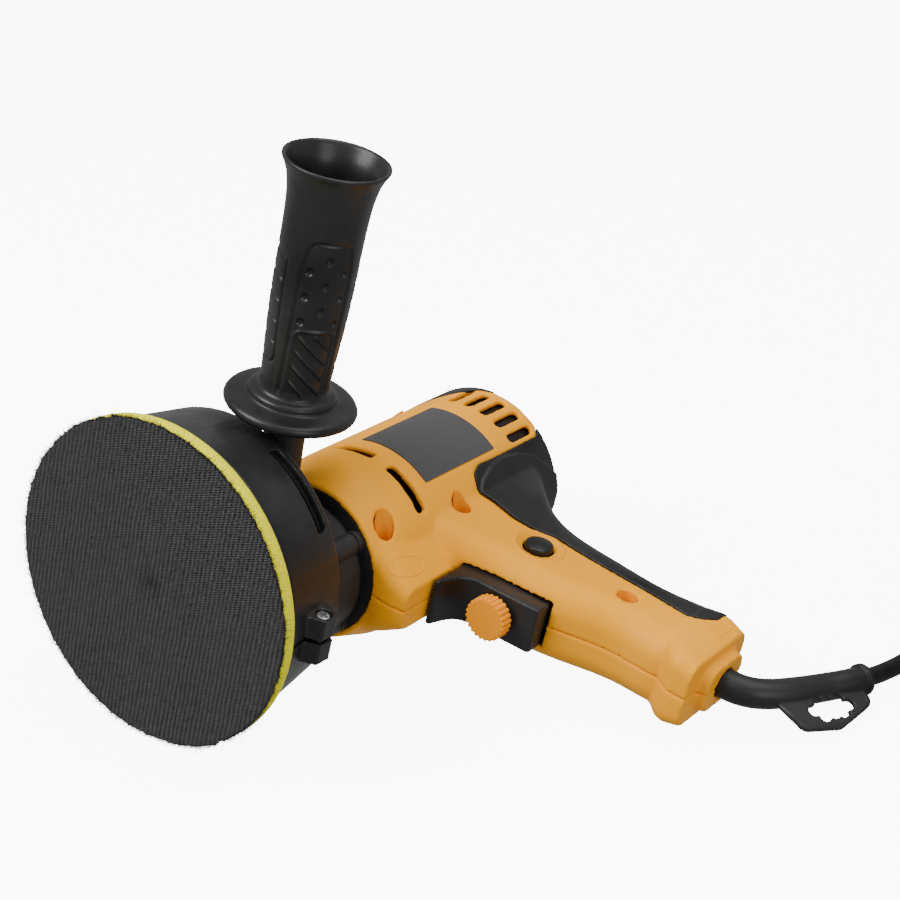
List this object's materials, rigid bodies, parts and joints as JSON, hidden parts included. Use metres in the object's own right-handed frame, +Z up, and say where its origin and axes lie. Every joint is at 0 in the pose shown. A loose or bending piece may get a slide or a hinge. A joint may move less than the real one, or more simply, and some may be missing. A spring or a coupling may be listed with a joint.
{
  "type": "rotary polisher",
  "caption": "Corded car polisher with a flat foam-backed pad, side handle, barrel motor body and square-ended main handle with trigger, speed dial and lock button.",
  "frame": {"origin": "centre of the polisher's footprint, on the floor that it rests on, measured without its cord", "axes": "+Z up from the floor; +X along the main handle towards its end, level; +Y level, from the pad towards the motor's tail. The tool lies on its right side, resting on the pad's rim, the tail and the handle's end"},
  "size_m": [0.3856, 0.2927, 0.2121],
  "materials": {
    "hook_loop": "woven hook tape",
    "pad_foam": "open foam",
    "grey_plastic": "satin",
    "plain_steel": "turned",
    "core_steel": "varnished",
    "copper": "enamelled wire",
    "black_plastic": "fine texture",
    "black_rubber": "soft touch",
    "brass_parts": "plain",
    "carbon": "pressed carbon",
    "case_metal": "cast, painted",
    "yellow_plastic": "satin",
    "label_grey": "film",
    "yellow_dial": "satin",
    "cord_rubber": "smooth",
    "wire_sleeve": "smooth",
    "pin_brass": "nickel plated"
  },
  "bodies": {
    "tool": {"motor_bearing": "plain_steel", "tail_bearing": "plain_steel", "tail_bush": "black_rubber", "vent_gauze": "black_plastic", "stator_core": "core_steel", "field_coils": "copper", "brush_holders": "brass_parts", "brush_caps": "black_plastic", "carbon_brushes": "carbon", "brush_springs": "plain_steel", "gear_case": "case_metal", "bearing_plate": "case_metal", "front_bearing": "plain_steel", "rear_bearing": "plain_steel", "case_screws": "plain_steel", "guard_plate": "black_plastic", "guard_plate_screws": "plain_steel", "guard_band": "black_plastic", "guard_clamp_screw": "plain_steel", "guard_clamp_nut": "plain_steel", "side_handle": "black_plastic", "side_handle_stud": "plain_steel", "housing_left": "yellow_plastic", "housing_right": "yellow_plastic", "overmould_left": "black_rubber", "overmould_right": "black_rubber", "name_label": "label_grey", "rating_label": "label_grey", "housing_screws": "plain_steel", "lock_spring": "plain_steel", "trigger_spring": "plain_steel", "switch_body": "black_plastic", "capacitor": "yellow_dial", "inner_cord": "cord_rubber", "lead_wires": "copper", "motor_leads": "wire_sleeve", "cord_clamp": "black_plastic", "clamp_screws": "plain_steel", "strain_relief": "black_rubber", "cord": "cord_rubber", "cord_coil": "cord_rubber", "plug_body": "cord_rubber", "plug_pins": "pin_brass"},
    "pad": {"hook_face": "hook_loop", "pad_foam": "pad_foam", "backing_plate": "grey_plastic", "pad_insert": "plain_steel", "spindle": "plain_steel", "drive_gear": "plain_steel", "gear_ring": "plain_steel"},
    "armature": {"armature_shaft": "plain_steel", "armature_core": "core_steel", "armature_windings": "copper", "commutator": "copper", "cooling_fan": "black_plastic"},
    "trigger": {"trigger": "grey_plastic"},
    "dial": {"speed_dial": "yellow_dial"},
    "button": {"lock_button": "black_plastic"}
  },
  "joints": [
    {"name": "pad_spin", "type": "hinge", "parent": "tool", "child": "pad", "pos_m": [-0.07548, -0.09685, 0.06261], "axis": [0, 0.9926, -0.1212], "continuous": true},
    {"name": "armature_spin", "type": "hinge", "parent": "tool", "child": "armature", "pos_m": [-0.05112, -0.09741, 0.05799], "axis": [0, 0.9926, -0.1212], "continuous": true},
    {"name": "trigger_pull", "type": "slide", "parent": "tool", "child": "trigger", "axis": [0, 0.9926, -0.1212], "range_m": [0, 0.0055], "stiffness_N_per_m": 900, "springref_m": -0.002},
    {"name": "dial_turn", "type": "hinge", "parent": "trigger", "child": "dial", "pos_m": [0.0137, -0.01156, 0.035], "axis": [0, 0.9926, -0.1212], "range_deg": [-150, 150]},
    {"name": "lock_press", "type": "slide", "parent": "tool", "child": "button", "axis": [-0.188, -0.1191, -0.9749], "range_m": [0, 0.0025], "stiffness_N_per_m": 700, "springref_m": -0.001, "deforming": ["lock_spring"]}
  ],
  "couplings": [
    {"joint": "armature_spin", "follows": "pad_spin", "ratio": -5.2}
  ]
}
